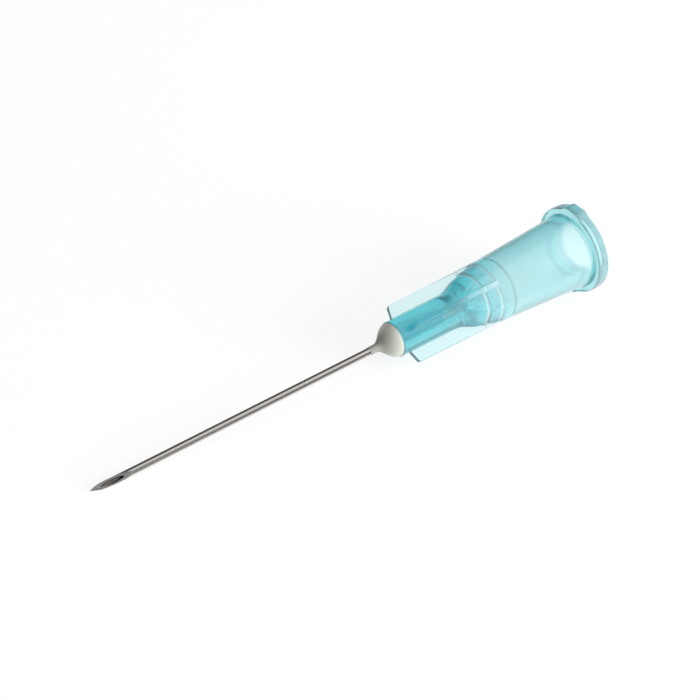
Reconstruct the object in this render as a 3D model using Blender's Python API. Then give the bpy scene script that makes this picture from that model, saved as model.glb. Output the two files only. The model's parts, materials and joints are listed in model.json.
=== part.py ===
"""Hypodermic needle: a bevelled steel tube bonded into a one-piece Luer hub, lying at rest.

Lengths are in metres. In the needle's own axes, X runs along the bore: 0 is the hub's nose rim,
the sharp point lies at -X and the open mouth of the hub at +X. Angles round the bore are counted
from +Y towards +Z. The finished needle lies on Z = 0, touching it with the lower lug of the
mouth flange and with the underside of its point, and X, Y = 0 is the middle of its outline.
"""
import math

import bmesh
import bpy
import numpy as np
from mathutils import Matrix, Vector

MM = 0.001

# Steel tube, a 0.6 mm (23 gauge) needle
TUBE_RADIUS = 0.32 * MM
TUBE_BORE_RADIUS = 0.17 * MM
TUBE_EXPOSED_LENGTH = 29.78 * MM
BEVEL_LENGTH = 3.8 * MM
LANCET_LENGTH = 0.9 * MM
LANCET_TURN = math.radians(35)
BEVEL_FACING = math.radians(152)

# Hub, lengths along the bore from the nose rim to the mouth
NOSE_LENGTH = 5.62 * MM
CONE_LENGTH = 2.67 * MM
RING_LENGTH = 1.23 * MM
BODY_LENGTH = 9.1 * MM
FLANGE_THICKNESS = 1.0 * MM

# Hub, inside: glue well, guide for the tube, funnel and 6 % Luer socket
NOSE_RADIUS = 1.5 * MM
NOSE_WALL = 0.42 * MM
NOSE_EDGE_RADIUS = 0.06 * MM
WELL_DEPTH = 4.62 * MM
WELL_FLOOR_RADIUS = 0.56 * MM
GUIDE_LENGTH = 2.7 * MM
SOCKET_MOUTH_RADIUS = 2.15 * MM
SOCKET_DEPTH = 8.65 * MM
SOCKET_TAPER = 0.06
SOCKET_SHOULDER = 0.45 * MM
MOUTH_CHAMFER = 0.15 * MM

# Hub, outside: walls over the socket, the two stepped rings, the flange and its lugs
BODY_MOUTH_WALL = 0.95 * MM
BODY_FRONT_WALL = 0.7 * MM
BODY_STEP = 0.15 * MM
RING_STEP = 0.15 * MM
RING_RISE = 0.13 * MM
STEP_FILLET = 0.12 * MM
FLANGE_WIDTH = 0.58 * MM
FLANGE_FILLET = 0.2 * MM
FLANGE_EDGE_RADIUS = 0.12 * MM
LUG_HEIGHT = 0.22 * MM
LUG_LAND_WIDTH = 1.3 * MM
LUG_STEEP_SIDE = math.radians(22)
LUG_GENTLE_SIDE = math.radians(30)
LUG_EDGE_BEVEL = 0.06 * MM
LUG_FACING = math.radians(90)

# Hub, four thin fins along the nose
FIN_COUNT = 4
FIN_THICKNESS = 0.4 * MM
FIN_FRONT_HEIGHT = 1.05 * MM
FIN_FRONT_SETBACK = 1.0 * MM
FIN_FRONT_SLANT = 0.25 * MM
FIN_LENGTH = 10.12 * MM
FIN_CORNER_RADIUS = 0.25 * MM
FIN_EDGE_BEVEL = 0.05 * MM
FIN_FACING = math.radians(128)

# Adhesive: a bell on the nose rim, a thin creep along the tube, and the fill of the well
GLUE_BELL_LENGTH = 1.85 * MM
GLUE_BELL_WAIST = 0.04 * MM
GLUE_CREEP_LENGTH = 0.6 * MM
GLUE_CREEP_WALL = 0.03 * MM

# Clearances that keep neighbouring solids apart
TUBE_GAP = 0.02 * MM
GLUE_GAP = 0.02 * MM

HUB_SEGMENTS = 60
TUBE_SEGMENTS = 28
GLUE_SEGMENTS = 40
ARC_STEPS = 4
BLEND_STEPS = 10
SHARP_ANGLE = math.radians(35)

# Sizes that follow from the ones above
CONE_START = NOSE_LENGTH
RING_START = CONE_START + CONE_LENGTH
BODY_START = RING_START + RING_LENGTH
FLANGE_START = BODY_START + BODY_LENGTH
HUB_LENGTH = FLANGE_START + FLANGE_THICKNESS
TUBE_END = WELL_DEPTH + GUIDE_LENGTH
SOCKET_FLOOR = HUB_LENGTH - SOCKET_DEPTH
SOCKET_FLOOR_RADIUS = SOCKET_MOUTH_RADIUS - SOCKET_DEPTH * SOCKET_TAPER / 2
GUIDE_RADIUS = TUBE_RADIUS + TUBE_GAP
WELL_MOUTH_RADIUS = NOSE_RADIUS - NOSE_WALL
BODY_FRONT_RADIUS = SOCKET_FLOOR_RADIUS + BODY_FRONT_WALL
BODY_MOUTH_RADIUS = SOCKET_MOUTH_RADIUS + BODY_MOUTH_WALL
RING_BACK_RADIUS = BODY_FRONT_RADIUS - BODY_STEP
RING_FRONT_RADIUS = RING_BACK_RADIUS - RING_RISE
CONE_END_RADIUS = RING_FRONT_RADIUS - RING_STEP
FLANGE_RADIUS = BODY_MOUTH_RADIUS + FLANGE_WIDTH
LUG_LAND_RADIUS = FLANGE_RADIUS + LUG_HEIGHT
FIN_EMBED = NOSE_WALL / 2


def clear_scene():
    for scene_object in list(bpy.data.objects):
        bpy.data.objects.remove(scene_object, do_unlink=True)


def make_material(name, colour, roughness, metallic=0.0, transmission=0.0):
    material = bpy.data.materials.new(name)
    material.use_nodes = True
    shader = material.node_tree.nodes["Principled BSDF"]
    shader.inputs["Base Color"].default_value = (*colour, 1.0)
    shader.inputs["Roughness"].default_value = roughness
    shader.inputs["Metallic"].default_value = metallic
    shader.inputs["Transmission Weight"].default_value = transmission
    material.diffuse_color = (*colour, 1.0)
    return material


def arc(centre, radius, start, end, steps=ARC_STEPS):
    """Points (along, out) on a circle arc, both ends included, with angles in degrees."""
    angles = np.radians(np.linspace(start, end, steps + 1))
    return [(centre[0] + radius * math.cos(a), centre[1] + radius * math.sin(a)) for a in angles]


def swell(start, end, steps=BLEND_STEPS):
    """Points (along, out) on an S-shaped sine blend between two points, both included."""
    share = np.linspace(0, 1, steps + 1)
    blend = np.sin(share * math.pi / 2) ** 2
    return [
        (start[0] + (end[0] - start[0]) * t, start[1] + (end[1] - start[1]) * b)
        for t, b in zip(share, blend)
    ]


def body_radius(along):
    """Outer radius of the hub's tapered body."""
    share = (along - BODY_START) / BODY_LENGTH
    return BODY_FRONT_RADIUS + (BODY_MOUTH_RADIUS - BODY_FRONT_RADIUS) * share


def turned(name, profile, segments):
    """A solid of revolution round X from a closed profile of (along, out) points."""
    mesh = bpy.data.meshes.new(name)
    shape = bmesh.new()
    ring = [shape.verts.new((along, out, 0)) for along, out in profile]
    edges = [shape.edges.new((a, b)) for a, b in zip(ring, ring[1:] + ring[:1])]
    bmesh.ops.spin(
        shape, geom=ring + edges, cent=(0, 0, 0), axis=(1, 0, 0),
        angle=math.tau, steps=segments, use_merge=True,
    )
    bmesh.ops.recalc_face_normals(shape, faces=shape.faces)
    shape.to_mesh(mesh)
    shape.free()
    mesh.shade_smooth()
    mesh.set_sharp_from_angle(angle=SHARP_ANGLE)
    made = bpy.data.objects.new(name, mesh)
    bpy.context.scene.collection.objects.link(made)
    return made


def plate(name, outline, thickness, edge_bevel):
    """A flat plate: a closed outline in the XY plane, extruded both ways along Z."""
    mesh = bpy.data.meshes.new(name)
    shape = bmesh.new()
    corners = [shape.verts.new((x, y, -thickness / 2)) for x, y in outline]
    face = shape.faces.new(corners)
    raised = bmesh.ops.extrude_face_region(shape, geom=[face])["geom"]
    lifted = [item for item in raised if isinstance(item, bmesh.types.BMVert)]
    bmesh.ops.translate(shape, verts=lifted, vec=(0, 0, thickness))
    bmesh.ops.recalc_face_normals(shape, faces=shape.faces)
    shape.to_mesh(mesh)
    shape.free()
    made = bpy.data.objects.new(name, mesh)
    bpy.context.scene.collection.objects.link(made)
    bevel = made.modifiers.new("soft edges", "BEVEL")
    bevel.width = edge_bevel
    bevel.segments = 2
    bevel.limit_method = "ANGLE"
    return made


def make_helper(helper):
    """Mark a solid as one that only shapes another."""
    helper.hide_render = True
    helper.display_type = "WIRE"


def hub_profile():
    """The hub's half section: outside from nose rim to mouth, then back along the bore."""
    edge = NOSE_EDGE_RADIUS
    outside = arc((edge, NOSE_RADIUS - edge), edge, 180, 90)
    outside += swell((CONE_START, NOSE_RADIUS), (RING_START - STEP_FILLET, CONE_END_RADIUS))
    outside += step_fillet(RING_START, CONE_END_RADIUS, RING_STEP)
    outside += [(RING_START, RING_FRONT_RADIUS), (BODY_START - STEP_FILLET, RING_BACK_RADIUS)]
    outside += step_fillet(BODY_START, RING_BACK_RADIUS, BODY_STEP)
    outside += [(BODY_START, BODY_FRONT_RADIUS)]
    fillet_start = FLANGE_START - FLANGE_FILLET
    foot = body_radius(fillet_start)
    outside += arc((fillet_start, foot + FLANGE_FILLET), FLANGE_FILLET, 270, 360)
    round_edge = FLANGE_EDGE_RADIUS
    rim = FLANGE_RADIUS - round_edge
    outside += arc((FLANGE_START + round_edge, rim), round_edge, 180, 90)
    outside += arc((HUB_LENGTH - round_edge, rim), round_edge, 90, 0)
    chamfer_radius = SOCKET_MOUTH_RADIUS + MOUTH_CHAMFER
    inside = [(HUB_LENGTH, chamfer_radius), (HUB_LENGTH - MOUTH_CHAMFER, SOCKET_MOUTH_RADIUS)]
    inside += [(SOCKET_FLOOR, SOCKET_FLOOR_RADIUS)]
    inside += [(SOCKET_FLOOR, SOCKET_FLOOR_RADIUS - SOCKET_SHOULDER)]
    inside += [(TUBE_END, GUIDE_RADIUS), (WELL_DEPTH, GUIDE_RADIUS)]
    inside += [(WELL_DEPTH, WELL_FLOOR_RADIUS), (0, WELL_MOUTH_RADIUS)]
    return outside + inside


def step_fillet(along, radius, height):
    """A hollow quarter curve that climbs to a ring's edge, without its last point."""
    share = np.linspace(0, math.pi / 2, ARC_STEPS + 1)[:-1]
    return [
        (along - STEP_FILLET * (1 - math.sin(a)), radius + height * (1 - math.cos(a)))
        for a in share
    ]


def outer_radius(along):
    """The smooth outer radius that the fins stand on, with the small steps left out."""
    if along <= CONE_START:
        return NOSE_RADIUS
    if along >= BODY_START:
        return body_radius(along)
    share = min((along - CONE_START) / CONE_LENGTH, 1)
    blend = math.sin(share * math.pi / 2) ** 2
    return NOSE_RADIUS + (CONE_END_RADIUS - NOSE_RADIUS) * blend


def fin_outline():
    """A fin's side view: a long outer edge that meets the body, and a root inside the wall."""
    front = FIN_FRONT_SETBACK
    back = front + FIN_LENGTH
    crest = NOSE_RADIUS + FIN_FRONT_HEIGHT
    tail = outer_radius(back) - FIN_EDGE_BEVEL
    corner = FIN_CORNER_RADIUS
    outline = [(front - FIN_FRONT_SLANT, NOSE_RADIUS - FIN_EMBED)]
    outline += arc((front + corner, crest - corner), corner, 175, 90)
    outline += [(back, tail)]
    roots = np.linspace(back, CONE_START, BLEND_STEPS)
    outline += [(along, outer_radius(along) - FIN_EMBED) for along in roots]
    return outline


def lug_outline():
    """A lug seen from the mouth: a flat land, with a steep and a gentle side."""
    half = LUG_LAND_WIDTH / 2
    root = FLANGE_RADIUS - FLANGE_WIDTH / 2
    foot = FLANGE_RADIUS - LUG_EDGE_BEVEL
    steep, gentle = LUG_STEEP_SIDE, -LUG_GENTLE_SIDE
    return [
        (root * math.cos(gentle), root * math.sin(gentle)),
        (foot * math.cos(gentle), foot * math.sin(gentle)),
        (LUG_LAND_RADIUS, -half),
        (LUG_LAND_RADIUS, half),
        (foot * math.cos(steep), foot * math.sin(steep)),
        (root * math.cos(steep), root * math.sin(steep)),
    ]


def make_fins():
    """The fins, equally spaced round the nose, each standing in its own plane."""
    fins = []
    for number in range(FIN_COUNT):
        fin = plate(f"fin_{number + 1}", fin_outline(), FIN_THICKNESS, FIN_EDGE_BEVEL)
        fin.rotation_euler = (FIN_FACING + number * math.tau / FIN_COUNT, 0, 0)
        fins.append(fin)
    return fins


def make_lugs():
    """Two opposite lugs, each as thick as the flange, extruded along the bore."""
    lugs = []
    middle = Vector((FLANGE_START + FLANGE_THICKNESS / 2, 0, 0))
    upright = Matrix(((0, 0, 1), (1, 0, 0), (0, 1, 0))).to_4x4()
    for number in range(2):
        lug = plate(f"lug_{number + 1}", lug_outline(), FLANGE_THICKNESS, LUG_EDGE_BEVEL)
        turn = Matrix.Rotation(LUG_FACING + number * math.pi, 4, "X")
        lug.matrix_world = Matrix.Translation(middle) @ turn @ upright
        lugs.append(lug)
    return lugs


def make_hub():
    hub = turned("hub", hub_profile(), HUB_SEGMENTS)
    additions = bpy.data.collections.new("hub additions")
    bpy.context.scene.collection.children.link(additions)
    for helper in make_fins() + make_lugs():
        make_helper(helper)
        bpy.context.scene.collection.objects.unlink(helper)
        additions.objects.link(helper)
    union = hub.modifiers.new("fins and lugs", "BOOLEAN")
    union.operation = "UNION"
    union.solver = "EXACT"
    union.operand_type = "COLLECTION"
    union.collection = additions
    hub.data.materials.append(make_material("hub plastic", (0.29, 0.74, 0.79), 0.12, 0.0, 0.6))
    return hub, list(additions.objects)


def round_bore(angle):
    """The unit vector that points out from the bore at an angle."""
    return Vector((0, math.cos(angle), math.sin(angle)))


def lancet_slope(bevel_slope):
    """Slope of the side facets that makes them run out LANCET_LENGTH behind the point."""
    wrap = math.acos(1 - LANCET_LENGTH * bevel_slope / TUBE_RADIUS)
    ratio = math.cos(LANCET_TURN) + math.sin(LANCET_TURN) / math.tan(wrap / 2)
    return bevel_slope * ratio


def grinding_block(name, point, slope, turn):
    """A block whose face is a ground facet through the point, turned round the bore."""
    facing = round_bore(BEVEL_FACING + turn)
    normal = (facing - Vector((slope, 0, 0))).normalized()
    size = 3 * BEVEL_LENGTH
    mesh = bpy.data.meshes.new(name)
    shape = bmesh.new()
    bmesh.ops.create_cube(shape, size=size)
    bmesh.ops.translate(shape, verts=shape.verts, vec=(0, 0, size / 2))
    shape.to_mesh(mesh)
    shape.free()
    block = bpy.data.objects.new(name, mesh)
    bpy.context.scene.collection.objects.link(block)
    block.rotation_euler = normal.to_track_quat("Z", "Y").to_euler()
    block.location = point
    make_helper(block)
    return block


def make_cannula():
    start = -TUBE_EXPOSED_LENGTH
    profile = [
        (start, TUBE_RADIUS), (TUBE_END, TUBE_RADIUS),
        (TUBE_END, TUBE_BORE_RADIUS), (start, TUBE_BORE_RADIUS),
    ]
    cannula = turned("cannula", profile, TUBE_SEGMENTS)
    point = Vector((start, 0, 0)) - TUBE_RADIUS * round_bore(BEVEL_FACING)
    bevel_slope = 2 * TUBE_RADIUS / BEVEL_LENGTH
    side_slope = lancet_slope(bevel_slope)
    facets = {"bevel": (bevel_slope, 0)}
    facets["lancet left"] = (side_slope, LANCET_TURN)
    facets["lancet right"] = (side_slope, -LANCET_TURN)
    blocks = []
    for name, (slope, turn) in facets.items():
        block = grinding_block(f"{name} grinding", point, slope, turn)
        cut = cannula.modifiers.new(name, "BOOLEAN")
        cut.operation = "DIFFERENCE"
        cut.solver = "EXACT"
        cut.object = block
        blocks.append(block)
    cannula.data.materials.append(make_material("needle steel", (0.56, 0.55, 0.54), 0.18, 1.0))
    return cannula, blocks


def glue_profile():
    """The adhesive's half section: creep, bell and rim outside, then the fill of the well."""
    bell_start = -GLUE_BELL_LENGTH
    bore = TUBE_RADIUS + TUBE_GAP
    waist = bore + GLUE_BELL_WAIST
    seat = NOSE_RADIUS - NOSE_EDGE_RADIUS
    profile = [(bell_start - GLUE_CREEP_LENGTH, bore + GLUE_CREEP_WALL)]
    profile += swell((bell_start, waist), (-GLUE_GAP, seat))
    profile += [(-GLUE_GAP, WELL_MOUTH_RADIUS - GLUE_GAP)]
    profile += [(WELL_DEPTH - GLUE_GAP, WELL_FLOOR_RADIUS - GLUE_GAP)]
    profile += [(WELL_DEPTH - GLUE_GAP, bore)]
    profile += [(bell_start - GLUE_CREEP_LENGTH, bore)]
    return profile


def make_adhesive():
    adhesive = turned("adhesive", glue_profile(), GLUE_SEGMENTS)
    adhesive.data.materials.append(make_material("epoxy", (0.46, 0.46, 0.42), 0.55))
    return adhesive


def shape_points(made):
    """The corners of an object's finished mesh, in the needle's own axes."""
    finished = made.evaluated_get(bpy.context.evaluated_depsgraph_get())
    corners = np.empty(len(finished.data.vertices) * 3)
    finished.data.vertices.foreach_get("co", corners)
    return corners.reshape(-1, 3)


def pitched(points, pitch):
    """Points turned about Y so that the mouth rises."""
    raised = points.copy()
    raised[:, 0] = points[:, 0] * math.cos(pitch) - points[:, 2] * math.sin(pitch)
    raised[:, 2] = points[:, 0] * math.sin(pitch) + points[:, 2] * math.cos(pitch)
    return raised


def resting_pitch(hub_points, tube_points):
    """The pitch at which the hub's and the tube's lowest points are at one height."""
    pitch = 0.0
    for _ in range(12):
        hub_low = pitched(hub_points, pitch)
        tube_low = pitched(tube_points, pitch)
        under_hub = hub_low[hub_low[:, 2].argmin()]
        under_tube = tube_low[tube_low[:, 2].argmin()]
        reach = under_hub[0] - under_tube[0]
        pitch += math.atan2(under_tube[2] - under_hub[2], reach)
    return pitch


def lay_down(hub, cannula, others):
    """Parent every piece to an empty that lays the needle on Z = 0."""
    bpy.context.view_layer.update()
    hub_points = shape_points(hub)
    tube_points = shape_points(cannula)
    pitch = resting_pitch(hub_points, tube_points)
    resting = pitched(np.vstack((hub_points, tube_points)), pitch)
    low, high = resting.min(axis=0), resting.max(axis=0)
    needle = bpy.data.objects.new("needle", None)
    bpy.context.scene.collection.objects.link(needle)
    needle.rotation_euler = (0, -pitch, 0)
    middle = (low + high) / 2
    needle.location = (-middle[0], -middle[1], -low[2])
    for piece in [hub, cannula] + others:
        piece.parent = needle


def main():
    clear_scene()
    hub, hub_helpers = make_hub()
    cannula, grinding_blocks = make_cannula()
    adhesive = make_adhesive()
    lay_down(hub, cannula, [adhesive] + hub_helpers + grinding_blocks)
    bpy.context.view_layer.update()


main()
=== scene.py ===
"""Looks of a hypodermic needle: a translucent moulded hub, a ground steel tube and cured adhesive.

Lengths are in metres. Shapes are worked out in the needle's own axes, where X runs along the bore
from the hub's nose rim towards its open mouth, and angles round the bore are counted from +Y
towards +Z. The frame says where those axes lie.
"""
import json
import math

import bmesh
import bpy
import numpy as np
from mathutils import Matrix, Vector


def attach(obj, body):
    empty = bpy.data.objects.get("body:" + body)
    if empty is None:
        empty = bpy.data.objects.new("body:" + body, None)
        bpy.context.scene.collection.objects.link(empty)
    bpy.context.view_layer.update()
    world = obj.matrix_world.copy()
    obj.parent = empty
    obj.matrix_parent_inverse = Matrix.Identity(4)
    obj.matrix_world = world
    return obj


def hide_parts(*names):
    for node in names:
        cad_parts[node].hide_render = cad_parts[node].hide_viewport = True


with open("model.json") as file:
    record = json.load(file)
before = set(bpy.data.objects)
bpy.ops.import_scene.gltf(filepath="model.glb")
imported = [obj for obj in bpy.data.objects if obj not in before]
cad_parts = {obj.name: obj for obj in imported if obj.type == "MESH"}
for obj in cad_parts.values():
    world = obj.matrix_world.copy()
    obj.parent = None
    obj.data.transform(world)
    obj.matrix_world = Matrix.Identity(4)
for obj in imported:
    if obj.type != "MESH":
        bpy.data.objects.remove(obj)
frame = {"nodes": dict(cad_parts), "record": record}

bl_info = {
    "name": "Hypodermic needle",
    "version": (1, 0, 0),
    "blender": (4, 5, 0),
    "location": "View3D > Sidebar > Needle",
    "description": "Builds the hub, tube and adhesive of a hypodermic needle, and a studio for it",
    "category": "Object",
}

MM = 0.001
PICTURE_WIDTH = 700
SENSOR_WIDTH = 36.0
LAMP_DISTANCE = 400 * MM
SHARP_ANGLE = math.radians(35)  # edges that turn by more stay sharp
HUB_SEGMENTS, TUBE_SEGMENTS, ADHESIVE_SEGMENTS = 192, 96, 128
FIN_COUNT, LUG_COUNT = 4, 2
LUER_SLOPE = 0.03  # the socket's taper of 6 %, shared by its two sides

PLASTIC_IOR = 1.49
PLASTIC_DENSITY = 570.0  # how fast light dims in the plastic, per metre

# How much of the plastic's skin is hazy white, from 0 to 1; on the step faces it is a painted
# highlight
NOSE_HAZE = 0.08
BODY_HAZE = 0.24
# On the step faces the white skin is a painted highlight for the bright arcs at the steps
STEP_HIGHLIGHT = 0.45
FIN_HAZE = 0.06
CREST_HAZE = 0.55
SOCKET_FLOOR_HAZE = 0.3

# How thick the plastic looks along the hub, as (share of its length, depth of colour)
THICKNESS_STOPS = ((0.0, 1.0), (0.25, 0.9), (0.34, 0.6), (0.43, 0.35), (0.52, 0.05), (0.9, 0.0))

# The room's light by height, as (half of one plus the sine of the height angle, brightness)
ROOM_STOPS = ((0.44, 1.0), (0.49, 0.5), (0.52, 0.11), (0.97, 0.11), (1.0, 0.8))
ROOM_ON_MATT = 0.1  # the least that the room gives to matt surfaces

# The floor's own light, and its share of what the floor shows
FLOOR_GLOW = 1.22
FLOOR_GLOW_SHARE = 0.65

# Lamps, as (name, direction from the needle, width, strength, whether reflections show it)
LAMPS = (
    ("key", (0.447, -0.391, 0.804), 500 * MM, 0.45, True),
    ("side", (0.5, -0.85, 0.2), 300 * MM, 1.2, False),
    ("point card", (0.21, -0.957, 0.208), 140 * MM, 0.016, True),
)


def node_points(name):
    """The corners of a CAD node's mesh."""
    mesh = frame["nodes"][name].data
    points = np.empty(len(mesh.vertices) * 3, np.float32)
    mesh.vertices.foreach_get("co", points)
    return points.reshape(-1, 3).astype(float)


def bore_axes():
    """The nose rim's centre and the needle's own axes as rows, read from the frame's mouth face."""
    mouth = frame["record"]["mounts"][0]
    along = Vector(mouth["axis"]).normalized()
    across = Vector((0, 1, 0))
    up = along.cross(across)
    centre = Vector((mouth["pos_m"][0], 0, mouth["pos_m"][2]))
    corners = node_points("hub") @ np.array(along)
    rim = centre - along * float(corners.max() - corners.min())
    return np.array(rim), np.array((along, across, up))


NOSE_CENTRE, NEEDLE_AXES = bore_axes()


def length(name, millimetres, description):
    """A length property with its default given in millimetres."""
    return bpy.props.FloatProperty(
        name=name, description=description, default=millimetres * MM, min=0.0,
        precision=5, unit="LENGTH",
    )


def coordinate(name, metres, description):
    """A coordinate property with its default given in metres."""
    return bpy.props.FloatProperty(
        name=name, description=description, default=metres, precision=5, unit="LENGTH",
    )


def angle(name, degrees, description):
    """An angle property with its default given in degrees."""
    return bpy.props.FloatProperty(
        name=name, description=description, default=math.radians(degrees), subtype="ANGLE",
    )


def colour(name, red, green, blue, description):
    """A colour property."""
    return bpy.props.FloatVectorProperty(
        name=name, description=description, default=(red, green, blue), size=3,
        min=0.0, max=1.0, subtype="COLOR",
    )


class NeedleHub(bpy.types.PropertyGroup):
    """Sizes of the moulded hub."""

    nose_length: length("Nose length", 5.62, "From the nose rim to the start of the cone")
    cone_length: length("Cone length", 2.67, "From the nose to the first stepped ring")
    ring_length: length("Ring length", 1.23, "Width of the first stepped ring")
    body_length: length("Body length", 9.1, "From the second step to the flange")
    flange_thickness: length("Flange thickness", 1.0, "Along the bore")
    nose_radius: length("Nose radius", 1.5, "Outside of the nose")
    nose_wall: length("Nose wall", 1.1, "Wall at the rim of the glue well")
    nose_edge: length("Nose edge", 0.06, "Rounding of the nose rim")
    well_depth: length("Well depth", 4.62, "Depth of the glue well")
    well_floor_radius: length("Well floor radius", 0.36, "Radius at the bottom of the glue well")
    guide_length: length("Guide length", 2.7, "Length of the hole that grips the tube")
    guide_radius: length("Guide radius", 0.316, "Radius of the hole that grips the tube")
    socket_radius: length("Socket radius", 2.15, "Radius of the tapered socket at its mouth")
    socket_depth: length("Socket depth", 8.65, "Depth of the tapered socket")
    socket_shoulder: length("Socket shoulder", 0.2, "Step between the socket and its funnel")
    mouth_chamfer: length("Mouth chamfer", 0.15, "Chamfer of the socket's mouth")
    mouth_wall: length("Mouth wall", 0.95, "Wall of the body at the flange")
    front_wall: length("Front wall", 0.7, "Wall of the body at its front end")
    step_height: length("Step height", 0.15, "Height of each stepped ring's edge")
    step_fillet: length("Step fillet", 0.24, "Radius at the foot of each step")
    ring_rise: length("Ring rise", 0.13, "Growth of the first ring's radius along the bore")
    flange_width: length("Flange width", 0.58, "How far the flange stands out from the body")
    flange_fillet: length("Flange fillet", 0.2, "Radius between body and flange")
    flange_edge: length("Flange edge", 0.12, "Rounding of the flange's rim")
    lug_height: length("Lug height", 0.22, "How far a lug stands out from the flange")
    lug_land: length("Lug land", 1.3, "Width of a lug's flat top")
    lug_steep: angle("Lug steep side", 22, "Where a lug's steep side meets the flange")
    lug_gentle: angle("Lug gentle side", 30, "Where a lug's gentle side meets the flange")
    lug_edge: length("Lug edge", 0.1, "Rounding of a lug's edges")
    lug_facing: angle("Lug facing", 90, "Direction of the first lug round the bore")
    fin_thickness: length("Fin thickness", 0.4, "Thickness of each fin")
    fin_height: length("Fin height", 1.05, "Height of a fin's front above the nose")
    fin_setback: length("Fin setback", 1.0, "From the nose rim to a fin's front")
    fin_slant: length("Fin slant", 0.25, "How far a fin's front leans")
    fin_length: length("Fin length", 10.12, "Length of a fin along the bore")
    fin_corner: length("Fin corner", 0.25, "Rounding of a fin's front corner")
    fin_edge: length("Fin edge", 0.05, "Rounding of a fin's long edges")
    fin_root: length("Fin root", 0.21, "How deep a fin's root lies in the wall")
    fin_facing: angle("Fin facing", 128, "Direction of the first fin round the bore")


class NeedleTube(bpy.types.PropertyGroup):
    """Sizes of the ground steel tube."""

    radius: length("Tube radius", 0.32, "Outer radius of the tube")
    bore_radius: length("Bore radius", 0.17, "Inner radius of the tube")
    exposed: length("Exposed length", 29.78, "From the nose rim to the point")
    bevel_length: length("Bevel length", 3.8, "Length of the ground bevel")
    lancet_length: length("Lancet length", 0.9, "Length of the two side facets at the point")
    lancet_turn: angle("Lancet turn", 35, "Turn of each side facet round the bore")
    bevel_facing: angle("Bevel facing", 152, "Direction that the bevel faces, round the bore")


class NeedleAdhesive(bpy.types.PropertyGroup):
    """Sizes of the cured adhesive."""

    bell_length: length("Bell length", 1.85, "Length of the bell in front of the nose rim")
    bell_waist: length("Bell waist", 0.035, "Wall at the bell's thin end")
    creep_length: length("Creep length", 0.6, "Length of the thin creep along the tube")
    creep_wall: length("Creep wall", 0.015, "Wall of the creep's end")
    unevenness: length("Unevenness", 0.012, "How far the bell's surface wavers")


class NeedleColours(bpy.types.PropertyGroup):
    """Colours of the needle's materials and of the studio."""

    body: colour("Body plastic", 0.98, 1.0, 1.0, "Thin plastic round the socket")
    # This white also covers the step faces, where it is a painted highlight
    milk_and_highlight: colour("Haze", 0.95, 0.98, 1.0, "Milky haze on the skins of the body")
    nose: colour("Nose plastic", 0.85, 0.98, 1.0, "Thick plastic of the nose and the cone")
    fins: colour("Fin plastic", 0.96, 1.0, 1.0, "Thin clear plastic of the fins")
    depth: colour("Plastic depth", 0.10, 0.89, 0.93, "Tint of light deep in the hub")
    # Painted light: the teal that light takes passing the plastic, put on the adhesive in the well
    well: colour("Filled well", 0.08, 0.78, 0.88, "Adhesive seen through the nose's wall")
    steel: colour("Steel", 0.57, 0.55, 0.53, "Reflection of the steel")
    # Painted shade: the dark colour of the hole deep in the bore
    bore: colour("Bore", 0.085, 0.06, 0.055, "Steel deep in the bore")
    # A matt finish; its teal is painted light, the plastic's tint on the light reaching it
    blasted_in_teal_light: colour("Bonded steel", 0.60, 0.82, 0.84, "The tube's dull end inside the hub")
    epoxy: colour("Epoxy", 0.69, 0.71, 0.63, "Cured adhesive")
    floor: colour("Floor", 0.9, 0.9, 0.9, "Floor of the studio")


class NeedleStage(bpy.types.PropertyGroup):
    """Place, heading and lens of the camera, and width of the floor."""

    azimuth: angle("Azimuth", 42.48, "Camera's heading, from +Y towards +X")
    elevation: angle("Elevation", 35.14, "Camera's height angle")
    roll: angle("Roll", -4.68, "Camera's turn about its own line of sight")
    camera_x: coordinate("Camera X", -0.21972, "Camera place along X")
    camera_y: coordinate("Camera Y", -0.24045, "Camera place along Y")
    camera_z: coordinate("Camera Z", 0.23275, "Camera place along Z")
    focal_pixels: bpy.props.FloatProperty(
        name="Focal length in pixels", description="Focal length for a picture 700 pixels wide",
        default=5095.7, min=100.0,
    )
    floor_size: length("Floor size", 3000, "Width of the floor")


# Node trees


class Flow:
    """A socket's value, on which Python's arithmetic adds Math nodes."""

    def __init__(self, tree, socket):
        self.tree = tree
        self.socket = socket

    def math(self, operation, *others):
        """A Math node on this value and the others."""
        values = dict(enumerate((self, *others)))
        return add_node(self.tree, "ShaderNodeMath", {"operation": operation}, values)

    def __add__(self, other):
        return self.math("ADD", other)

    def __sub__(self, other):
        return self.math("SUBTRACT", other)

    def __mul__(self, other):
        return self.math("MULTIPLY", other)

    def __rsub__(self, other):
        return self.math("MULTIPLY_ADD", -1.0, other)

    __radd__ = __add__
    __rmul__ = __mul__


def add_node(tree, kind, settings=None, values=None, output=0):
    """Adds a node, sets it, fills its sockets with numbers or flows, and returns one output."""
    node = tree.nodes.new(kind)
    for name, setting in (settings or {}).items():
        if name == "stops":
            set_stops(node.color_ramp, setting)
        else:
            setattr(node, name, setting)
    for key, value in (values or {}).items():
        if isinstance(value, Flow):
            tree.links.new(value.socket, node.inputs[key])
        else:
            node.inputs[key].default_value = value
    return Flow(tree, node.outputs[output])


def set_stops(ramp, stops):
    """Fills a colour ramp with (place, grey) stops."""
    while len(ramp.elements) < len(stops):
        ramp.elements.new(1.0)
    for element, (place, grey) in zip(ramp.elements, stops):
        element.position = place
        element.color = (grey, grey, grey, 1.0)


def mix_colours(tree, share, first, second):
    """A blend of two colours, each given as three numbers or as a flow. A Mix node takes colours
    at its sockets 6 and 7, and gives their blend at its output 2."""
    values = {0: share}
    for key, shade in ((6, first), (7, second)):
        values[key] = shade if isinstance(shade, Flow) else (*shade, 1.0)
    return add_node(tree, "ShaderNodeMix", {"data_type": "RGBA"}, values, output=2)


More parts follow.
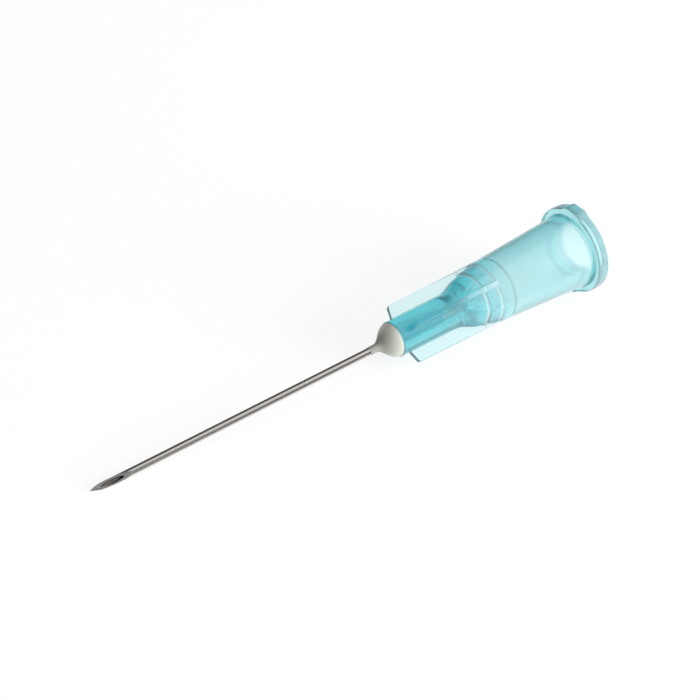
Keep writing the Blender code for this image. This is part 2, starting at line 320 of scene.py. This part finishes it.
def noise(tree, where, scale, detail):
    """Soft noise from 0 to 1."""
    return add_node(tree, "ShaderNodeTexNoise", {}, {
        "Vector": where, "Scale": scale, "Detail": detail,
    })


def bump(tree, height, strength, depth):
    """A bumpy skin from a height flow, with its depth in millimetres."""
    return add_node(tree, "ShaderNodeBump", {}, {
        "Strength": strength, "Distance": depth * MM, "Height": height,
    })


def matt(tree, shade):
    """A matt shader."""
    return add_node(tree, "ShaderNodeBsdfDiffuse", {}, {"Color": (*shade, 1.0)})


def new_finish(name):
    """An empty material and its output node."""
    material = bpy.data.materials.new(name)
    material.use_nodes = True
    tree = material.node_tree
    tree.nodes.clear()
    return material, tree, tree.nodes.new("ShaderNodeOutputMaterial")


def bore_coordinates(tree):
    """Object coordinates turned so that X runs along the bore, in millimetres."""
    place = add_node(tree, "ShaderNodeTexCoord", output="Object")
    pitch = math.atan2(NEEDLE_AXES[0][2], NEEDLE_AXES[0][0])
    shift = -(NEEDLE_AXES @ NOSE_CENTRE) / MM
    return add_node(tree, "ShaderNodeMapping", {"vector_type": "POINT"}, {
        "Vector": place, "Location": tuple(shift), "Rotation": (0, pitch, 0),
        "Scale": (1 / MM, 1 / MM, 1 / MM),
    })


def place_along(tree, bore):
    """The place along the bore, counted from the nose rim towards the mouth."""
    return add_node(tree, "ShaderNodeSeparateXYZ", {}, {0: bore}, output="X")


def distance_out(tree, bore):
    """The distance from the middle of the bore: the length of the place without its X."""
    kind = "ShaderNodeVectorMath"
    across = add_node(tree, kind, {"operation": "MULTIPLY"}, {0: bore, 1: (0, 1, 1)})
    return add_node(tree, kind, {"operation": "LENGTH"}, {0: across}, output="Value")


# Finishes


def plastic_finish(colours, hub):
    """Translucent moulded polypropylene: deeper where it is thick, nearly clear in the fins, and
    hazy on its outer skins, with a painted highlight as whiter skin on the steps."""
    material, tree, output = new_finish("hub plastic")
    bore = bore_coordinates(tree)
    along, out = place_along(tree, bore), distance_out(tree, bore)
    grain = noise(tree, bore, 7.0, 3.0)
    thick = add_node(tree, "ShaderNodeValToRGB", {"stops": THICKNESS_STOPS}, {
        0: along * (MM / hub_radii(hub)["end"]),
    })
    wall = wall_radius(tree, along, hub)
    fin = out.math("GREATER_THAN", wall)
    walls = mix_colours(tree, thick, colours.body, colours.nose)
    shader = add_node(tree, "ShaderNodeBsdfPrincipled", {}, {
        "Base Color": mix_colours(tree, fin, walls, colours.fins),
        "Roughness": grain * 0.06 + 0.14, "IOR": PLASTIC_IOR, "Transmission Weight": 1.0,
        "Normal": bump(tree, noise(tree, bore, 0.9, 2.0) + grain * 0.15, 0.25, 0.01),
    })
    haze_and_highlight = haze_and_step_highlight(hub, along, out, wall, fin, thick)
    milky_and_highlit = add_node(tree, "ShaderNodeMixShader", {}, {
        0: haze_and_highlight, 1: shader, 2: matt(tree, colours.milk_and_highlight),
    })
    depth = add_node(tree, "ShaderNodeVolumeAbsorption", {}, {
        "Color": (*colours.depth, 1.0), "Density": PLASTIC_DENSITY,
    })
    tree.links.new(milky_and_highlit.socket, output.inputs["Surface"])
    tree.links.new(depth.socket, output.inputs["Volume"])
    return material


def haze_and_step_highlight(hub, along, out, wall, fin, thick):
    """How hazy the hub's skin is: its outer walls a little, the steps and the fins' crests more,
    and of its inside only a line at the socket's floor. The steps' share is a painted highlight."""
    r = hub_radii(hub)
    flanged = along.math("GREATER_THAN", r["flange"] / MM)
    skinned = flanged.math("MAXIMUM", out.math("GREATER_THAN", wall * 0.9))
    crest = out.math("GREATER_THAN", (hub.nose_radius + hub.fin_height - hub.fin_edge) / MM)
    socket_floor = along.math("COMPARE", r["floor"] / MM + 0.07, 0.1)
    haze_and_highlight = ((1 - thick) * (BODY_HAZE - NOSE_HAZE) + NOSE_HAZE) * (1 - fin) * skinned
    marks = [
        # Painted highlight: the step faces are whitened to stand for the bright arcs at the steps
        step_faces(hub, along) * skinned * STEP_HIGHLIGHT,
        fin * FIN_HAZE,
        fin * crest * (1 - thick) * CREST_HAZE,
        (1 - skinned) * socket_floor * SOCKET_FLOOR_HAZE,
    ]
    for mark in marks:
        haze_and_highlight = haze_and_highlight.math("MAXIMUM", mark)
    return haze_and_highlight


def step_faces(hub, along):
    """1 on the hollow faces that climb to the two stepped rings, and 0 elsewhere."""
    r = hub_radii(hub)
    reach = hub.step_fillet / 2 / MM
    ring, body = [along.math("COMPARE", r[name] / MM - reach, reach) for name in ("ring", "body")]
    return ring.math("MAXIMUM", body)


def wall_radius(tree, along, hub):
    """The hub's outer radius in millimetres, without its fins and with a little to spare, from the
    place along the bore."""
    r = hub_radii(hub)
    most = 2 * r["rim"]
    cone = swell((hub.nose_length, hub.nose_radius), (r["ring"], r["cone_end"]), 12)
    rings = [
        (r["ring"] * 1.001, r["ring_front"]), (r["body"] * 0.999, r["ring_back"]),
        (r["body"], r["body_front"]), (r["flange"] * 0.985, r["body_back"]),
        (r["flange"] * 0.99, most),
    ]
    places = np.vstack(([(0, hub.nose_radius)], cone, rings))
    stops = [(place / r["end"], radius / most) for place, radius in places]
    ramp = add_node(tree, "ShaderNodeValToRGB", {"stops": stops}, {0: along * (MM / r["end"])})
    return ramp * (most / MM) + 0.06


def steel_finish(colours, tube):
    """Drawn stainless steel with fine lengthwise marks, a duller ground point, a bore painted
    darker inward as shade, and a matt end inside the hub, tinted teal as painted light through the
    plastic."""
    material, tree, output = new_finish("needle steel")
    bore = bore_coordinates(tree)
    along, out = place_along(tree, bore), distance_out(tree, bore)
    stretched = add_node(tree, "ShaderNodeMapping", {}, {
        "Vector": bore, "Scale": (0.05, 7.0, 7.0),
    })
    marks = noise(tree, stretched, 1.0, 4.0)
    heel = (tube.exposed - tube.bevel_length * 0.8) / MM
    fade = 2.0  # millimetres over which the bore darkens, up to near the bevel's heel
    # Painted shade: the bore's colour darkens from its opening inward, as the shade of the hole
    inward = (along + (heel + fade)) * (1 / fade)
    deep = inward.math("MAXIMUM", 0.7).math("MINIMUM", 1.0)
    # The bore and the ground facets are told from the outer skin by their distance out
    # The dull mask carries the painted shade of the bore
    dull = deep * out.math("LESS_THAN", tube.bore_radius / MM * 1.03)
    ground = out.math("LESS_THAN", tube.radius / MM * 0.985)
    bonded = along.math("GREATER_THAN", 0.1)
    bare = mix_colours(tree, dull, colours.steel, colours.bore)
    shader = add_node(tree, "ShaderNodeBsdfPrincipled", {}, {
        # Inside the hub the tube's teal colour is painted light, tinted as if lit through the
        # plastic
        "Base Color": mix_colours(tree, bonded, bare, colours.blasted_in_teal_light),
        "Metallic": 1 - bonded,
        "Roughness": marks * 0.1 + ground * 0.12 + bonded * 0.4 + 0.15,
        "Normal": bump(tree, marks, 0.06, 0.01),
    })
    tree.links.new(shader.socket, output.inputs["Surface"])
    return material


def epoxy_finish(colours):
    """Cured adhesive: slightly mottled, with a soft shine, painted darker as shade towards its thin
    end on the tube, and painted teal inside the hub for the light tinted by the plastic.
    """
    material, tree, output = new_finish("epoxy")
    bore = bore_coordinates(tree)
    along = place_along(tree, bore)
    mottle = noise(tree, bore, 1.6, 3.0)
    mottled, shaded_epoxy = [[share * part for part in colours.epoxy] for share in (0.93, 0.5)]
    # Painted shade: the epoxy darkens along the bore from the bell towards the creep on the tube
    thin = add_node(tree, "ShaderNodeMapRange", {"interpolation_type": "SMOOTHSTEP"}, {
        "Value": along, "From Min": -0.4, "From Max": -1.3, "To Min": 0.0, "To Max": 1.0,
    })
    graded = mix_colours(tree, thin, mix_colours(tree, mottle, mottled, colours.epoxy), shaded_epoxy)
    shader = add_node(tree, "ShaderNodeBsdfPrincipled", {}, {
        # Inside the hub the epoxy takes the teal well colour, painted light for the plastic's
        # tinted light
        "Base Color": mix_colours(tree, along.math("GREATER_THAN", 0.03), graded, colours.well),
        "Roughness": mottle * 0.15 + 0.35, "Normal": bump(tree, mottle, 0.3, 0.02),
    })
    tree.links.new(shader.socket, output.inputs["Surface"])
    return material


def floor_finish(colours):
    """A pale table lit from within, just white where nothing shades it, which keeps the shadow."""
    material, tree, output = new_finish("studio floor")
    glow = add_node(tree, "ShaderNodeEmission", {}, {
        "Color": (1, 1, 1, 1), "Strength": FLOOR_GLOW,
    })
    shown = add_node(tree, "ShaderNodeMixShader", {}, {
        0: FLOOR_GLOW_SHARE, 1: matt(tree, colours.floor), 2: glow,
    })
    tree.links.new(shown.socket, output.inputs["Surface"])
    return material


# Surfaces


def arc(centre, radius, start, end, steps=8):
    """Points on a circle arc: centre plus radius times the cosine and sine of each angle."""
    angles = np.radians(np.linspace(start, end, steps + 1))
    return np.stack((centre[0] + radius * np.cos(angles), centre[1] + radius * np.sin(angles)), 1)


def swell(start, end, steps=40):
    """An S-shaped blend: the distance out follows the squared sine of the share along."""
    share = np.linspace(0, 1, steps + 1)
    blend = np.sin(share * math.pi / 2) ** 2
    return np.stack((
        start[0] + (end[0] - start[0]) * share, start[1] + (end[1] - start[1]) * blend,
    ), 1)


def line(start, end, steps=1):
    """Evenly spaced points from start to end, both included."""
    return np.linspace(start, end, steps + 1)


def to_world(points):
    """Turns points from the needle's own axes to the frame's."""
    return NOSE_CENTRE + points @ NEEDLE_AXES


def round_the_bore(profile, segments):
    """A closed profile of (along, out) turned a full round: out becomes out times cosine, sine."""
    angles = np.arange(segments) * math.tau / segments
    along = np.repeat(profile[:, :1], segments, 1)
    out = profile[:, 1:]
    return np.stack((along, out * np.cos(angles), out * np.sin(angles)), 2)


def ring_mesh(name, grid):
    """A mesh from a grid of points that closes on itself both ways, with its faces outward."""
    rows, columns = grid.shape[:2]
    number = np.arange(rows * columns).reshape(rows, columns)
    below = np.roll(number, -1, 0)
    faces = np.stack((number, below, np.roll(below, -1, 1), np.roll(number, -1, 1)), 2)
    return mesh_object(name, to_world(grid.reshape(-1, 3)), faces.reshape(-1, 4).tolist())


def mesh_object(name, points, faces):
    """An object in the scene from points and faces, with outward faces."""
    mesh = bpy.data.meshes.new(name)
    mesh.from_pydata(points.tolist(), [], faces)
    mesh.update()
    face_outward(mesh)
    made = bpy.data.objects.new(name, mesh)
    bpy.context.scene.collection.objects.link(made)
    return made


def face_outward(mesh):
    """Turns a closed mesh inside out when its signed volume comes out negative."""
    shape = bmesh.new()
    shape.from_mesh(mesh)
    if shape.calc_volume(signed=True) < 0:
        mesh.flip_normals()
    shape.free()


def plate_mesh(name, outline, thickness, edge, place):
    """A plate from a closed outline: rings inset by a quarter circle at both faces, then caps.
    The place function takes points drawn flat to the needle's own axes."""
    turns = np.radians(np.linspace(90, 0, 5))
    inset = edge * (1 - np.cos(turns))
    height = thickness / 2 - edge * (1 - np.sin(turns))
    upper = list(zip(inset, height))
    levels = [(i, -h) for i, h in upper] + upper[::-1]
    inward = inward_mitres(outline)
    rings = np.array([
        np.column_stack((outline + inward * i, np.full(len(outline), h))) for i, h in levels
    ])
    count = len(outline)
    number = np.arange(rings.shape[0] * count).reshape(rings.shape[0], count)
    sides = np.stack((
        number[:-1], np.roll(number[:-1], -1, 1), np.roll(number[1:], -1, 1), number[1:],
    ), 2).reshape(-1, 4)
    faces = sides.tolist() + [number[0][::-1].tolist(), number[-1].tolist()]
    return mesh_object(name, to_world(place(rings.reshape(-1, 3))), faces)


def inward_mitres(outline):
    """At each corner, the step that moves both neighbouring edges inward by one unit."""
    after = np.roll(outline, -1, 0)
    edges = after - outline
    edges /= np.linalg.norm(edges, axis=1)[:, None]
    left = np.stack((-edges[:, 1], edges[:, 0]), 1)
    area = np.sum(outline[:, 0] * after[:, 1] - after[:, 0] * outline[:, 1])
    left *= math.copysign(1, area)
    before = np.roll(left, 1, 0)
    return (left + before) / (1 + np.einsum("ij,ij->i", left, before))[:, None]


# Hub


def hub_radii(hub):
    """The radii and places that follow from the hub's sizes."""
    ring = hub.nose_length + hub.cone_length
    body = ring + hub.ring_length
    flange = body + hub.body_length
    end = flange + hub.flange_thickness
    floor_radius = hub.socket_radius - hub.socket_depth * LUER_SLOPE
    front = floor_radius + hub.front_wall
    back = front - hub.step_height
    return {
        "ring": ring, "body": body, "flange": flange, "end": end,
        "floor": end - hub.socket_depth, "floor_radius": floor_radius,
        "body_front": front, "body_back": hub.socket_radius + hub.mouth_wall,
        "ring_back": back, "ring_front": back - hub.ring_rise,
        "cone_end": back - hub.ring_rise - hub.step_height,
        "rim": hub.socket_radius + hub.mouth_wall + hub.flange_width,
    }


def step_curve(at, radius, height, fillet):
    """A hollow quarter curve that climbs to a ring's edge, without its last point."""
    turn = np.linspace(0, math.pi / 2, 9)[:-1]
    return np.stack((at - fillet * (1 - np.sin(turn)), radius + height * (1 - np.cos(turn))), 1)


def hub_profile(hub):
    """The hub's half section, (along, out): outside from nose to mouth, then back inside through
    socket, funnel, guide hole and glue well, as arcs, straight lines and one S-shaped cone."""
    r = hub_radii(hub)
    edge, fillet = hub.nose_edge, hub.flange_fillet
    slope = (r["body_back"] - r["body_front"]) / hub.body_length
    fillet_start = r["flange"] - fillet
    foot = r["body_front"] + slope * (fillet_start - r["body"])
    rim, rounding = r["rim"], hub.flange_edge
    outside = [
        arc((edge, hub.nose_radius - edge), edge, 180, 90),
        line((edge * 2, hub.nose_radius), (hub.nose_length * 0.98, hub.nose_radius), 12),
        swell((hub.nose_length, hub.nose_radius), (r["ring"] - hub.step_fillet, r["cone_end"])),
        step_curve(r["ring"], r["cone_end"], hub.step_height, hub.step_fillet),
        line((r["ring"], r["ring_front"]), (r["body"] - hub.step_fillet, r["ring_back"]), 6),
        step_curve(r["body"], r["ring_back"], hub.step_height, hub.step_fillet),
        line((r["body"], r["body_front"]), (fillet_start - fillet, foot - slope * fillet), 20),
        arc((fillet_start, foot + fillet), fillet, 270, 360),
        arc((r["flange"] + rounding, rim - rounding), rounding, 180, 90),
        arc((r["end"] - rounding, rim - rounding), rounding, 90, 0),
    ]
    chamfer = hub.mouth_chamfer
    funnel_end = hub.well_depth + hub.guide_length
    inside = [
        arc((r["end"] - chamfer, hub.socket_radius + chamfer), chamfer, 0, -90),
        line((r["end"] - 2 * chamfer, hub.socket_radius),
             (r["floor"] + chamfer, r["floor_radius"]), 20),
        arc((r["floor"] + chamfer, r["floor_radius"] - chamfer), chamfer, 90, 180),
        line((r["floor"], r["floor_radius"] - hub.socket_shoulder),
             (funnel_end, hub.guide_radius), 10),
        line((funnel_end - 0.02 * MM, hub.guide_radius), (hub.well_depth, hub.guide_radius), 8),
        line((hub.well_depth, hub.well_floor_radius), (0, hub.nose_radius - hub.nose_wall), 12),
    ]
    return np.vstack(outside + inside)


def fin_outline(hub):
    """A fin's side view: a long straight outer edge that meets the body, and a root that follows
    the cone and the body at one depth inside the wall."""
    r = hub_radii(hub)
    front, back = hub.fin_setback, hub.fin_setback + hub.fin_length
    crest = hub.nose_radius + hub.fin_height
    slope = (r["body_back"] - r["body_front"]) / hub.body_length
    tail = r["body_front"] + slope * (back - r["body"])
    roots = np.linspace(back, hub.nose_length, 24)
    share = np.clip((roots - hub.nose_length) / hub.cone_length, 0, 1)
    blend = np.sin(share * math.pi / 2) ** 2
    cone = hub.nose_radius + (r["cone_end"] - hub.nose_radius) * blend
    body = r["body_front"] + slope * (roots - r["body"])
    root = np.where(roots >= r["body"], body, cone) - hub.fin_root
    return np.vstack((
        [(front - hub.fin_slant, hub.nose_radius - hub.fin_root)],
        arc((front + hub.fin_corner, crest - hub.fin_corner), hub.fin_corner, 175, 90),
        [(back, tail - hub.fin_edge)],
        np.stack((roots, root), 1),
    ))


def lug_outline(hub):
    """A lug seen from the mouth: a flat land, and a steep and a gentle side that each end at an
    angle round the flange."""
    rim = hub_radii(hub)["rim"]
    half, land = hub.lug_land / 2, rim + hub.lug_height
    root, foot = rim - hub.flange_width / 2, rim - hub.lug_edge
    steep, gentle = hub.lug_steep, -hub.lug_gentle
    return np.array([
        (root * math.cos(gentle), root * math.sin(gentle)),
        (foot * math.cos(gentle), foot * math.sin(gentle)),
        (land, -half), (land, half),
        (foot * math.cos(steep), foot * math.sin(steep)),
        (root * math.cos(steep), root * math.sin(steep)),
    ])


def turned(along, out, across, turn):
    """Points drawn straight out from the bore, turned round it by an angle."""
    return np.stack((
        along, out * math.cos(turn) - across * math.sin(turn),
        out * math.sin(turn) + across * math.cos(turn),
    ), 1)


def standing(turn):
    """Places a plate drawn as (along, out, across) in the plane through the bore at an angle."""
    def place(points):
        along, out, across = points.T
        return turned(along, out, across, turn)
    return place


def facing_mouth(turn, middle):
    """Places a plate drawn as (out, across, along) square to the bore, turned round it."""
    def place(points):
        out, across, along = points.T
        return turned(middle + along, out, across, turn)
    return place


def hub_additions(hub):
    """The fins and lugs as separate solids, spread evenly round the bore."""
    middle = hub_radii(hub)["flange"] + hub.flange_thickness / 2
    fins = [
        plate_mesh("fin", fin_outline(hub), hub.fin_thickness, hub.fin_edge,
                   standing(hub.fin_facing + number * math.tau / FIN_COUNT))
        for number in range(FIN_COUNT)
    ]
    lugs = [
        plate_mesh("lug", lug_outline(hub), hub.flange_thickness, hub.lug_edge,
                   facing_mouth(hub.lug_facing + number * math.tau / LUG_COUNT, middle))
        for number in range(LUG_COUNT)
    ]
    return fins + lugs


def unite(base, additions):
    """Joins closed solids into one closed mesh, and removes the ones that were added."""
    group = bpy.data.collections.new("additions")
    bpy.context.scene.collection.children.link(group)
    for addition in additions:
        bpy.context.scene.collection.objects.unlink(addition)
        group.objects.link(addition)
    union = base.modifiers.new("union", "BOOLEAN")
    union.operation = "UNION"
    union.solver = "EXACT"
    union.operand_type = "COLLECTION"
    union.collection = group
    keep_shape(base)
    for addition in additions:
        bpy.data.objects.remove(addition, do_unlink=True)
    bpy.data.collections.remove(group)


def finish_piece(piece, material, node):
    """Smooths a piece, gives it its material and puts it in the place of its CAD node."""
    piece.data.shade_smooth()
    piece.data.set_sharp_from_angle(angle=SHARP_ANGLE)
    piece.data.materials.clear()
    piece.data.materials.append(material)
    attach(piece, "root")
    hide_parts(node)


# Tube


def tube_profile(tube, tube_end):
    """The tube's half section, (along, out): the outer wall to its end, then back in the bore."""
    start = -tube.exposed
    return np.vstack((
        line((start, tube.radius), (tube_end, tube.radius)),
        line((tube_end, tube.bore_radius), (start, tube.bore_radius)),
    ))


def grinding_blocks(tube):
    """Three blocks whose near faces are the ground facets: each plane holds the point, and rises
    from it along the bore by its slope."""
    slope = 2 * tube.radius / tube.bevel_length
    wrap = math.acos(1 - tube.lancet_length * slope / tube.radius)
    side = slope * (math.cos(tube.lancet_turn) + math.sin(tube.lancet_turn) / math.tan(wrap / 2))
    point = np.array((-tube.exposed, 0, 0)) - tube.radius * bore_direction(tube.bevel_facing)
    turns = (0, tube.lancet_turn, -tube.lancet_turn)
    return [
        facet_block(point, bore_direction(tube.bevel_facing + turn), rise, 3 * tube.bevel_length)
        for turn, rise in zip(turns, (slope, side, side))
    ]


def bore_direction(turn):
    """The unit vector that points out from the bore at an angle."""
    return np.array((0, math.cos(turn), math.sin(turn)))


def facet_block(point, facing, slope, size):
    """A cube on a plane: its corners are the point plus halves of its width across and along the
    plane, at the plane and one width above it."""
    normal = facing - np.array((slope, 0, 0))
    normal /= np.linalg.norm(normal)
    across = np.cross(normal, (1, 0, 0))
    across /= np.linalg.norm(across)
    lengthwise = np.cross(across, normal)
    square = np.array([(-1, -1), (1, -1), (1, 1), (-1, 1)]) * size / 2
    base = point + square[:, :1] * across + square[:, 1:] * lengthwise
    corners = np.vstack((base, base + normal * size))
    faces = [
        (3, 2, 1, 0), (4, 5, 6, 7), (0, 1, 5, 4), (1, 2, 6, 5), (2, 3, 7, 6), (3, 0, 4, 7),
    ]
    return mesh_object("grinding block", to_world(corners), faces)


def cut_away(piece, block):
    """Takes a closed block out of a closed piece, and removes the block."""
    cut = piece.modifiers.new("cut", "BOOLEAN")
    cut.operation = "DIFFERENCE"
    cut.solver = "EXACT"
    cut.object = block
    keep_shape(piece)
    bpy.data.objects.remove(block, do_unlink=True)


def keep_shape(piece):
    """Makes a piece's modifiers part of its mesh."""
    bpy.context.view_layer.update()
    graph = bpy.context.evaluated_depsgraph_get()
    whole = bpy.data.meshes.new_from_object(piece.evaluated_get(graph))
    piece.modifiers.clear()
    piece.data = whole


# Adhesive


def adhesive_grid(adhesive, hub, tube):
    """The bell, the creep and the fill of the well, turned round the bore. The bell's skin is drawn
    in by the unevenness, the more the nearer its thin end, times a sum of two sines: of twice the
    turn, and of three times the turn plus the place along. It overlaps the tube and the hub by a
    few thousandths of a millimetre, so that no slit shows."""
    bore = tube.radius - 0.005 * MM
    grip = 0.008 * MM
    waist = tube.radius + adhesive.bell_waist
    seat = hub.nose_radius - hub.nose_edge
    start = -adhesive.bell_length - adhesive.creep_length
    profile = np.vstack((
        line((start, tube.radius + adhesive.creep_wall),
             (-adhesive.bell_length * 1.04, waist), 8),
        swell((-adhesive.bell_length, waist), (grip, seat), 40),
        line((0.02 * MM, hub.nose_radius - hub.nose_wall + grip),
             (hub.well_depth + grip, hub.well_floor_radius + grip), 12),
        line((hub.well_depth + grip, bore), (start, bore), 8),
    ))
    grid = round_the_bore(profile, ADHESIVE_SEGMENTS)
    turn = np.arange(ADHESIVE_SEGMENTS) * math.tau / ADHESIVE_SEGMENTS
    outside = (profile[:, :1] < 0) & (profile[:, 1:] > tube.radius * 1.1)
    depth = np.clip(-profile[:, :1] / adhesive.bell_length, 0, 1) * outside
    waver = np.sin(2 * turn + 0.7) * 0.6 + np.sin(3 * turn + profile[:, :1] / MM * 2.1) * 0.4
    scale = 1 - adhesive.unevenness * depth * (1 + waver) / 2 / profile[:, 1:]
    grid[..., 1:] *= scale[..., None]
    return grid


# Operators


class MakeHub(bpy.types.Operator):
    """Builds the translucent hub with its fins, stepped rings, socket and lugs"""

    bl_idname = "needle.make_hub"
    bl_label = "Hub"

    def execute(self, context):
        hub = context.scene.needle_hub
        shell = ring_mesh("needle_hub", round_the_bore(hub_profile(hub), HUB_SEGMENTS))
        unite(shell, hub_additions(hub))
        plastic = plastic_finish(context.scene.needle_colours, hub)
        finish_piece(shell, plastic, "hub")
        return {"FINISHED"}


class MakeTube(bpy.types.Operator):
    """Builds the steel tube with its ground lancet point"""

    bl_idname = "needle.make_tube"
    bl_label = "Tube"

    def execute(self, context):
        hub = context.scene.needle_hub
        sizes = context.scene.needle_tube
        profile = tube_profile(sizes, hub.well_depth + hub.guide_length)
        tube = ring_mesh("needle_tube", round_the_bore(profile, TUBE_SEGMENTS))
        for block in grinding_blocks(sizes):
            cut_away(tube, block)
        steel = steel_finish(context.scene.needle_colours, sizes)
        finish_piece(tube, steel, "cannula")
        return {"FINISHED"}


class MakeAdhesive(bpy.types.Operator):
    """Builds the cured adhesive: the bell, its creep and the fill of the glue well"""

    bl_idname = "needle.make_adhesive"
    bl_label = "Adhesive"

    def execute(self, context):
        scene = context.scene
        grid = adhesive_grid(scene.needle_adhesive, scene.needle_hub, scene.needle_tube)
        bell = ring_mesh("needle_adhesive", grid)
        finish_piece(bell, epoxy_finish(scene.needle_colours), "adhesive")
        return {"FINISHED"}


class MakeStudio(bpy.types.Operator):
    """Builds the floor, the soft lights, the world and the camera"""

    bl_idname = "needle.make_studio"
    bl_label = "Studio"

    def execute(self, context):
        stage = context.scene.needle_stage
        make_floor(stage, floor_finish(context.scene.needle_colours))
        make_world(context.scene)
        for lamp in LAMPS:
            make_lamp(*lamp)
        make_flag()
        make_camera(context.scene, stage)
        context.scene.view_settings.view_transform = "Standard"
        return {"FINISHED"}


def flat_sheet(name, corners, material):
    """A flat sheet of one face, in the scene."""
    mesh = bpy.data.meshes.new(name)
    mesh.from_pydata(corners, [], [list(range(len(corners)))])
    mesh.materials.append(material)
    sheet = bpy.data.objects.new(name, mesh)
    bpy.context.scene.collection.objects.link(sheet)
    return sheet


def make_floor(stage, material):
    """A flat floor just under the needle."""
    half, level = stage.floor_size / 2, -0.01 * MM
    corners = [
        (-half, -half, level), (half, -half, level), (half, half, level), (-half, half, level),
    ]
    made = flat_sheet("floor", corners, material)


def make_world(scene):
    """A room over a pale table: white to the camera, bright through glass, and dark above the
    horizon in reflections."""
    world = bpy.data.worlds.new("studio")
    scene.world = world
    world.use_nodes = True
    tree = world.node_tree
    tree.nodes.clear()
    direction = add_node(tree, "ShaderNodeTexCoord", output="Generated")
    height = add_node(tree, "ShaderNodeSeparateXYZ", {}, {0: direction}, output="Z")
    room = add_node(tree, "ShaderNodeValToRGB", {"stops": ROOM_STOPS}, {0: height * 0.5 + 0.5})
    names = ("Is Camera Ray", "Is Transmission Ray", "Is Diffuse Ray")
    camera, through, matted = [add_node(tree, "ShaderNodeLightPath", output=name) for name in names]
    lift = camera.math("MAXIMUM", through.math("MAXIMUM", matted * ROOM_ON_MATT))
    level = mix_colours(tree, lift, room, (1.0, 1.0, 1.0))
    light = add_node(tree, "ShaderNodeBackground", {}, {"Color": level, "Strength": 1.0})
    output = tree.nodes.new("ShaderNodeOutputWorld")
    tree.links.new(light.socket, output.inputs["Surface"])


def make_lamp(name, direction, width, strength, reflected):
    """A square soft lamp that faces the needle, one side along the bore. Strength is the light
    that a white surface facing it gives back."""
    away, along = Vector(direction).normalized(), Vector(NEEDLE_AXES[0])
    sideways = (along - away * away.dot(along)).normalized()
    lamp = bpy.data.lights.new(name, "AREA")
    lamp.size = width
    lamp.energy = strength * (math.pi * LAMP_DISTANCE) ** 2
    made = bpy.data.objects.new(name, lamp)
    turn = Matrix((sideways, away.cross(sideways), away)).transposed().to_4x4()
    made.matrix_world = Matrix.Translation(away * LAMP_DISTANCE) @ turn
    made.visible_glossy = reflected
    made.visible_transmission = False
    bpy.context.scene.collection.objects.link(made)


def make_flag():
    """A dark card on the table in front of the needle, which only reflections show: its near edge
    runs away from the needle as the needle rises."""
    left, right, reach, level = -40 * MM, 40 * MM, -150 * MM, 0.02 * MM
    corners = [
        (left, -0.5 * MM, level), (left, reach, level),
        (right, reach, level), (right, -13 * MM, level),
    ]
    material, tree, output = new_finish("flag cloth")
    tree.links.new(matt(tree, (0.1, 0.1, 0.1)).socket, output.inputs["Surface"])
    flag = flat_sheet("flag", corners, material)
    flag.visible_camera = flag.visible_diffuse = flag.visible_shadow = False
    flag.visible_transmission = False


def make_camera(scene, stage):
    """A camera with a long lens, at the photograph's place, heading, height angle and roll."""
    lens = bpy.data.cameras.new("camera")
    lens.sensor_width = SENSOR_WIDTH
    lens.lens = stage.focal_pixels * SENSOR_WIDTH / PICTURE_WIDTH
    lens.clip_start = 0.01
    lens.clip_end = 10.0
    heading, height = stage.azimuth, stage.elevation
    forward = Vector((
        math.cos(height) * math.sin(heading), math.cos(height) * math.cos(heading),
        -math.sin(height),
    ))
    level = Vector((math.cos(heading), -math.sin(heading), 0))
    down = forward.cross(level)
    right = level * math.cos(stage.roll) + down * math.sin(stage.roll)
    up = right.cross(forward)
    turn = Matrix((right, up, -forward)).transposed().to_4x4()
    place = Matrix.Translation((stage.camera_x, stage.camera_y, stage.camera_z))
    camera = bpy.data.objects.new("camera", lens)
    camera.matrix_world = place @ turn
    scene.collection.objects.link(camera)
    scene.camera = camera


class NeedlePanel(bpy.types.Panel):
    """Lists the needle's sizes, colours and operators"""

    bl_idname = "VIEW3D_PT_needle"
    bl_label = "Hypodermic needle"
    bl_space_type = "VIEW_3D"
    bl_region_type = "UI"
    bl_category = "Needle"

    def draw(self, context):
        for group in PROPERTY_GROUPS:
            box = self.layout.box()
            values = getattr(context.scene, group)
            for name in values.bl_rna.properties.keys():
                if name not in ("rna_type", "name"):
                    box.prop(values, name)
        for operator in OPERATORS:
            self.layout.operator(operator.bl_idname)


OPERATORS = (MakeHub, MakeTube, MakeAdhesive, MakeStudio)
PROPERTY_GROUPS = {
    "needle_hub": NeedleHub,
    "needle_tube": NeedleTube,
    "needle_adhesive": NeedleAdhesive,
    "needle_colours": NeedleColours,
    "needle_stage": NeedleStage,
}


def register():
    """Adds the property groups to the scene, and the operators and the panel to Blender."""
    for name, group in PROPERTY_GROUPS.items():
        bpy.utils.register_class(group)
        setattr(bpy.types.Scene, name, bpy.props.PointerProperty(type=group))
    for operator in OPERATORS:
        bpy.utils.register_class(operator)
    bpy.utils.register_class(NeedlePanel)


def unregister():
    """Takes away what register added."""
    bpy.utils.unregister_class(NeedlePanel)
    for operator in OPERATORS:
        bpy.utils.unregister_class(operator)
    for name, group in PROPERTY_GROUPS.items():
        delattr(bpy.types.Scene, name)
        bpy.utils.unregister_class(group)


def main():
    """Builds the needle and its studio."""
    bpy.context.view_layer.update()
    register()
    bpy.ops.needle.make_hub()
    bpy.ops.needle.make_tube()
    bpy.ops.needle.make_adhesive()
    bpy.ops.needle.make_studio()


if __name__ == "__main__":
    main()
